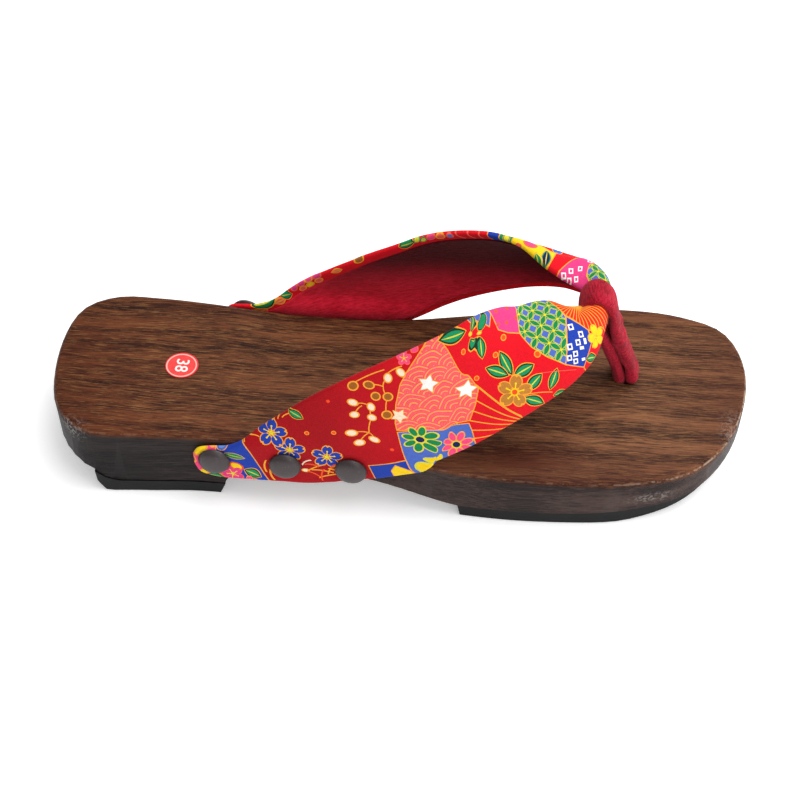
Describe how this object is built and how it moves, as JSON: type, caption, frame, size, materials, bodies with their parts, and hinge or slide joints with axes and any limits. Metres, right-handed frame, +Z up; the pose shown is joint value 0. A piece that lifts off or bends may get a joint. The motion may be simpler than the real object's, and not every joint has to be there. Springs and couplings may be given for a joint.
{
  "type": "geta sandal",
  "caption": "Right-foot wooden geta sandal with a one-piece arched board on rubber pads and a wide printed cloth strap tacked to its sides and held by a toe thong.",
  "frame": {"origin": "on the ground, under the middle of the sandal's outline seen from above", "axes": "+X from the heel to the toes, +Y towards the big-toe (medial) side, +Z up"},
  "size_m": [0.2472, 0.0851, 0.0789],
  "materials": {
    "burnt_wood": "burnt and brushed paulownia, satin lacquer, sides nearly black",
    "pad_rubber": "moulded black rubber, dull",
    "strap_print": "printed red cotton outside, crimson crepe lining",
    "thong_crepe": "crimson crepe, soft nap",
    "nail_metal": "antiqued dark bronze, satin",
    "label_film": "red sticker with a white ring and number"
  },
  "bodies": {
    "root": {"sole_board": "burnt_wood", "heel_rubber": "pad_rubber", "forefoot_rubber": "pad_rubber", "strap": "strap_print", "toe_thong": "thong_crepe", "nail_lateral_1": "nail_metal", "nail_lateral_2": "nail_metal", "nail_lateral_3": "nail_metal", "nail_medial_1": "nail_metal", "nail_medial_2": "nail_metal", "nail_medial_3": "nail_metal", "size_label": "label_film"}
  },
  "joints": []
}
